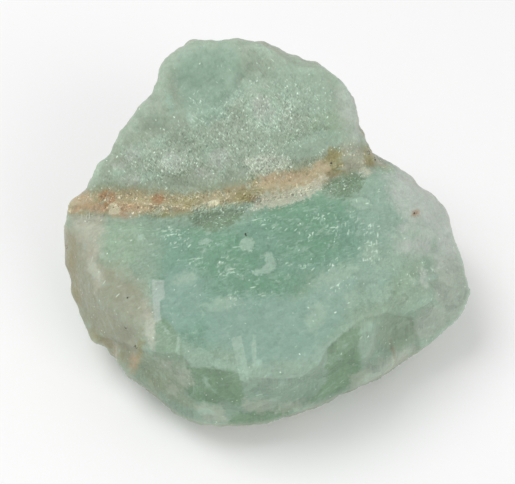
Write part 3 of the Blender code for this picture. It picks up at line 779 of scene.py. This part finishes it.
STAINS_AND_GLOW = [
    ("halo", SEAM_GREEN, 0.7, 0.8, 2.0, 1.0), ("in_seam", TAN, 0.85, 1.0, 3.0, 0.7),
    ("seam_core", GOLD, 0.35, 1.4, 7.0, 0.4), ("glass", GLASS, 0.8, 0.9, 2.0, 0.6),
    ("peach", PEACH, 0.85, 0.9, 2.0, 0.4), ("blush", BLUSH, 0.75, 0.9, 1.5, 0.6),
    ("sugar", SUGAR, 0.8, 2.0, 4.0, 0.5), ("ochre", OCHRE, 0.8, 1.2, 2.0, 0.5),
    ("rust", RUST, 0.8, 1.4, 1.5, 0.5), ("crack", BROWN, 0.5, 1.2, 1.0, 0.25),
    ("cream", CREAM, 0.85, 1.4, 0.5, 0.15), ("flake", FROST, 0.7, 2.2, 1.8, 0.15),
    ("chip", CHIP, 0.8, 1.2, 1.0, 0.25), ("plate", PLATE, 0.7, 1.5, 0.6, 0.12),
    # the brim's colour is a painted glow of light through the stone's thin edges
    ("sliver", FROST, 0.7, 1.5, 0.4, 0.1), ("brim_glow", BRIM_GLOW, 0.5, 1.2, 0.2, 0.2),
]
print("washes and stains:", len(WASHES) + len(STAINS_AND_GLOW))

# %% Body colour


def field(tree, name):
    """A field that was kept on the skin's points, for a material."""
    return add(tree, "ShaderNodeAttribute", attribute_name=name).outputs["Fac"]


def from_group(tree, made, place, inputs):
    """Places a group with values of its own, and hands back its outputs."""
    return add(tree, "ShaderNodeGroup", {"Place": place, **inputs}, node_tree=made).outputs


def mixed(tree, share, under, over):
    return add(tree, "ShaderNodeMix", {0: share, 6: under, 7: over}, data_type="RGBA").outputs[2]


def torn(tree, name, place, tears, depth, softness):
    """Where a patch is, with its torn edge."""
    inputs = {"Field": field(tree, name), "Tears per mm": tears, "Tear Depth": depth, "Softness": softness}
    return from_group(tree, TORN, place, inputs)["Mask"]


def washed(tree, colour, place, washes):
    for name, over, strength, tears, depth, softness in washes:
        mask = torn(tree, name, place, tears, depth, softness)
        colour = mixed(tree, times(tree, mask, strength), colour, over)
    return colour


def body_colour(tree, place, below):
    """The tones of the two blocks with patches, stains, painted ledge shade and painted brim glow, paler at
    thin edges and ridges.
    """
    drift = ramp(tree, cloud(tree, place, 0.1), -0.08, 0.08)
    upper = mixed(tree, drift, SAGE, SEA_GREY)
    colour = washed(tree, mixed(tree, below, upper, PALE_GREEN), place, WASHES)
    thin = ramp(tree, field(tree, "thin_edge"), 0.3, 1.6, 0.0, 0.2)
    colour = washed(tree, mixed(tree, thin, colour, LAVENDER), place, STAINS_AND_GLOW)
    ridge = ramp(tree, field(tree, "ridge"), 0.05, 0.35, 0.0, 0.25)
    return mixed(tree, ridge, colour, HAZE)


# %% [markdown]
# ## Streaks, veil and shade
# Light goes into calcite and comes back from cleavage planes, thin veils of tiny cracks and crystal faces
# inside it. Modelling these would take a solid full of cracks, so they are drawn as small differences of
# light and dark. The front band, the beige side, and the blue and aqua patches are calmer than the rest.

# %% Streaks, veil and shade
LOWER_LEAN = math.radians(-50)
WISPS = {"Turn": math.radians(38), "Length": 5.0, "Width": 1.1}
STRIATIONS = {"Turn": math.radians(92), "Length": 4.0, "Width": 0.4}
CREST_LINES = {"Turn": math.radians(128), "Length": 7.0, "Width": 0.5}
FLECK_TURN = math.radians(70)
FLECK_SIZE = {"Length": 1.3, "Width": 0.45}
CRYSTALS = {"Size": 1.8, "Tear Depth": 1.6}
BLOCKS = {"Size": 2.6, "Tear Depth": 0.9}


def busy_share(tree):
    """1 on the busy faces, and less on the calm ones."""
    calm = maths(tree, "MAXIMUM", maths(tree, "MAXIMUM", field(tree, "front"), field(tree, "beige")),
                 maths(tree, "MAXIMUM", field(tree, "blue"), field(tree, "aqua")))
    return ramp(tree, calm, -1.0, 1.0, 1.0, 0.45)


def veiled(tree, colour, place, lean, busy):
    """Pale flecks along the cleavage, and a thin veil of tiny cracks."""
    turn = plus(tree, lean, FLECK_TURN)
    flecks = from_group(tree, SILK, place, {"Turn": turn, **FLECK_SIZE})["Streaks"]
    flecks = ramp(tree, flecks, 0.02, 0.16, 0.0, 0.45)
    colour = mixed(tree, times(tree, flecks, busy), colour, FROST)
    veil = cloud(tree, place, 0.4, detail=6.0, rough=0.68, warp=0.5)
    return mixed(tree, ramp(tree, veil, 0.05, 0.2, 0.0, 0.45), colour, VEIL)


def light_and_dark(tree, place, mottle, sugar, busy):
    """All the soft layers of light and dark, each a value about 0 with its strength."""
    crystals = from_group(tree, FACETS, place, CRYSTALS)["Shade"]
    blocks = from_group(tree, FACETS, place, BLOCKS)["Shade"]
    blocks = times(tree, blocks, ramp(tree, field(tree, "blocky"), -0.5, 0.8))
    wisps = from_group(tree, SILK, place, WISPS)["Streaks"]
    striations = from_group(tree, SILK, place, STRIATIONS)["Streaks"]
    striations = times(tree, striations, ramp(tree, field(tree, "front"), -0.2, 0.4))
    crest = from_group(tree, SILK, place, CREST_LINES)["Streaks"]
    crest = times(tree, crest, ramp(tree, field(tree, "crest"), -1.0, 1.5))
    grit = times(tree, cloud(tree, place, 4.5, detail=2.0), busy)
    layers = [
        (crystals, 0.06), (mottle, 0.15), (sugar, 0.2), (wisps, 0.25), (striations, 0.5), (crest, 0.5),
        (grit, 0.25), (blocks, 0.2),
    ]
    return plus(tree, *[times(tree, layer, strength) for layer, strength in layers])


# %% [markdown]
# ## Strokes and glints
# The sugary sparkle is thousands of tiny cleavage faces, most of them dull and a few that flash. Loose
# mirrors in the geometry would be too many and too small, so a pattern of small cells paints them into the
# colour: strokes, each painted a little lighter or darker as if its face caught the light its own way,
# longer on the lower face, and tiny glints, which are painted highlights. They come thickest on the broken
# parts of the upper block, along the seam and in a few clusters, and hardly at all on waxy peach spots.

# %% Strokes and glints
STROKE_SETS = [(62, 0.9, 0.2), (98, 0.7, 0.2), (138, 1.0, 0.2)]
GLINT_SETS = [(0, 0.26, 0.26), (65, 0.45, 0.22), (130, 0.4, 0.22)]
STROKE_RARITY, GLINT_RARITY = 12.0, 18.0
STROKE_LIGHT = 0.6
RAREST = 0.02


def sparkling(tree, place, busy):
    """How grainy the stone is, how often strokes and glints come, and how deep the strokes' shades are."""
    clumps = ramp(tree, cloud(tree, place, 0.6, detail=4.0, rough=0.65), -0.08, 0.15, 0.08, 1.0)
    waxy = ramp(tree, field(tree, "peach"), -0.4, 0.4, 1.0, 0.3)
    sparkle = times(tree, torn(tree, "sparkle", place, 0.4, 6.0, 2.0), waxy)
    grainy = times(tree, torn(tree, "grainy", place, 1.2, 3.0, 0.8), waxy)
    often = plus(tree, times(tree, sparkle, times(tree, clumps, 0.7)), RAREST, times(tree, grainy, 0.18))
    depth = plus(tree, times(tree, sparkle, 0.34), times(tree, busy, 0.14), times(tree, grainy, 0.36))
    return grainy, often, depth


def strokes(tree, place, below, lean, sparkles, shade):
    """Adds the strokes' painted shade to the shade, and gives the painted highlight of the bright ones."""
    grainy, often, depth = sparkles
    growth = ramp(tree, maths(tree, "SUBTRACT", below, grainy), 0.0, 1.0, 0.75, 1.35)
    close = times(tree, torn(tree, "cluster", place, 0.8, 2.0, 0.5), 1.2)
    rarity = maths(tree, "DIVIDE", STROKE_RARITY, plus(tree, often, close))
    light = 0.0
    for turn, length, width in STROKE_SETS:
        made = from_group(tree, CLEAVAGE, place, {
            "Turn": plus(tree, lean, math.radians(turn)), "Length": times(tree, growth, length),
            "Width": times(tree, growth, width), "Rarity": rarity})
        shade = plus(tree, shade, times(tree, made["Shade"], depth))
        light = plus(tree, times(tree, made["Light"], STROKE_LIGHT), light)
    return shade, light


def glints(tree, place, often, light):
    """Adds the tiny glints, which are painted highlights, to the painted light."""
    rarity = maths(tree, "DIVIDE", GLINT_RARITY, often)
    for turn, length, width in GLINT_SETS:
        made = from_group(tree, CLEAVAGE, place, {
            "Turn": math.radians(turn), "Length": length, "Width": width, "Rarity": rarity})
        light = plus(tree, made["Light"], light)
    return light


# %% [markdown]
# ## The stone's material
# All of it comes together on one shader. Calcite lets light in a little way, so the shader scatters some
# of it under the surface. Tilted grains and a fine bump break up its soft gloss, which a mottle makes
# uneven. Dark specks of dirt go on last.

# %% Calcite material
SPECK_SIZE = {"Turn": 0.0, "Length": 0.42, "Width": 0.42, "Rarity": 1.0}
GRAIN_TILT = {"Size": 0.55, "Tilt": 0.35}
BUMP = {"Distance": 0.15 * MM, "Strength": 0.4}
SHADER = {
    "IOR": 1.5, "Specular IOR Level": 0.5, "Subsurface Weight": 0.8, "Subsurface Radius": (1.0, 1.3, 1.1),
    "Subsurface Scale": 2.5 * MM,
}


def calcite_colour(tree, place, mottle, sugar):
    below = ramp(tree, plus(tree, field(tree, "above_seam"), mottle), 0.4, -0.4)
    lean = times(tree, below, LOWER_LEAN)
    busy = busy_share(tree)
    colour = veiled(tree, body_colour(tree, place, below), place, lean, busy)
    sparkles = sparkling(tree, place, busy)
    shade = light_and_dark(tree, place, mottle, sugar, busy)
    shade, light = strokes(tree, place, below, lean, sparkles, shade)
    colour = scaled(tree, colour, plus(tree, shade, 1.0))
    light = glints(tree, place, sparkles[1], light)
    # painted highlights: where strokes and glints flash, the colour is mixed towards white, warmer in the
    # seam
    gleam = mixed(tree, ramp(tree, field(tree, "in_seam"), -0.4, 0.4), GLINT_WHITE, WARM_GLINT_WHITE)
    colour = mixed(tree, maths(tree, "MINIMUM", light, 1.0), colour, gleam)
    dots = ramp(tree, from_group(tree, CLEAVAGE, place, SPECK_SIZE)["Light"], 0.25, 0.5)
    speck = times(tree, dots, ramp(tree, field(tree, "speck"), 0.0, 0.2))
    return mixed(tree, speck, colour, SPECK)


def calcite():
    material = bpy.data.materials.new("calcite")
    material.use_nodes = True
    tree = material.node_tree
    shader = tree.nodes["Principled BSDF"]
    place = scaled(tree, add(tree, "ShaderNodeTexCoord").outputs["Object"], 1 / MM)
    mottle = cloud(tree, place, 0.5, detail=4.0, rough=0.6)
    sugar = cloud(tree, place, 2.4, rough=0.65)
    tilted = from_group(tree, GRAINS, place, GRAIN_TILT)["Normal"]
    bump = add(tree, "ShaderNodeBump", {"Height": sugar, "Normal": tilted, **BUMP})
    connect(tree, shader.inputs["Base Color"], calcite_colour(tree, place, mottle, sugar))
    connect(tree, shader.inputs["Normal"], bump.outputs[0])
    connect(tree, shader.inputs["Roughness"], ramp(tree, mottle, -0.2, 0.2, 0.42, 0.62))
    for name, value in SHADER.items():
        connect(tree, shader.inputs[name], value)
    return material


stone_material = calcite()
print("material nodes:", len(stone_material.node_tree.nodes))

# %% [markdown]
# ## The finished stone
# The skin gets the relief tree as a modifier, whose inputs are set by their identifiers. The result is
# turned into a plain mesh, because a part is kept as meshes, and it then takes the place of the solid.

# %% Stone


def carved(skin, material):
    obj = bpy.data.objects.new("carving", skin)
    bpy.context.scene.collection.objects.link(obj)
    relief = obj.modifiers.new("relief", "NODES")
    relief.node_group = relief_tree(material)
    for item in relief.node_group.interface.items_tree:
        if item.in_out == "INPUT" and item.name in RELIEF:
            relief[item.identifier] = RELIEF[item.name]
    mesh = applied(obj)
    bpy.data.objects.remove(obj)
    return mesh


stone = bpy.data.objects.new("calcite_stone", carved(skin, stone_material))
bpy.context.scene.collection.objects.link(stone)
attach(stone, "root")
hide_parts(NODE)
print("stone:", len(stone.data.vertices), "points,", 2 * len(stone.data.polygons), "triangles")

# %% [markdown]
# ## Floor, lights and sky
# The photo has a plain white ground and soft, even light. A large pale floor, a bright even sky and two big
# soft lamps give the same, with a faint shadow where the stone stands.

# %% Studio
FLOOR_HALF = 3.0
FLOOR_WHITE = (0.95, 0.95, 0.95, 1)
SKY_STRENGTH = 0.55


def studio_floor():
    mesh = bpy.data.meshes.new("floor")
    shape = bmesh.new()
    bmesh.ops.create_grid(shape, x_segments=1, y_segments=1, size=FLOOR_HALF)
    shape.to_mesh(mesh)
    shape.free()
    floor = bpy.data.objects.new("floor", mesh)
    bpy.context.scene.collection.objects.link(floor)
    material = bpy.data.materials.new("floor")
    material.use_nodes = True
    paint = material.node_tree.nodes["Principled BSDF"].inputs
    paint["Base Color"].default_value = FLOOR_WHITE
    paint["Roughness"].default_value = 0.9
    paint["Specular IOR Level"].default_value = 0.1
    mesh.materials.append(material)


def softbox(name, place, size, watts):
    lamp = bpy.data.lights.new(name, "AREA")
    lamp.size = size
    lamp.energy = watts
    obj = bpy.data.objects.new(name, lamp)
    obj.location = place
    obj.rotation_euler = Vector(place).to_track_quat("Z", "Y").to_euler()
    bpy.context.scene.collection.objects.link(obj)


studio_floor()
softbox("key_light", place=(-0.3, 0.1, 0.6), size=0.4, watts=2.0)
softbox("fill_light", place=(0.4, -0.45, 0.4), size=0.4, watts=1.3)
world = bpy.data.worlds.new("sky")
world.use_nodes = True
sky = world.node_tree.nodes["Background"].inputs
sky["Color"].default_value = (1, 1, 1, 1)
sky["Strength"].default_value = SKY_STRENGTH
bpy.context.scene.world = world
bpy.context.scene.view_settings.view_transform = "Standard"
print("sky strength:", SKY_STRENGTH)
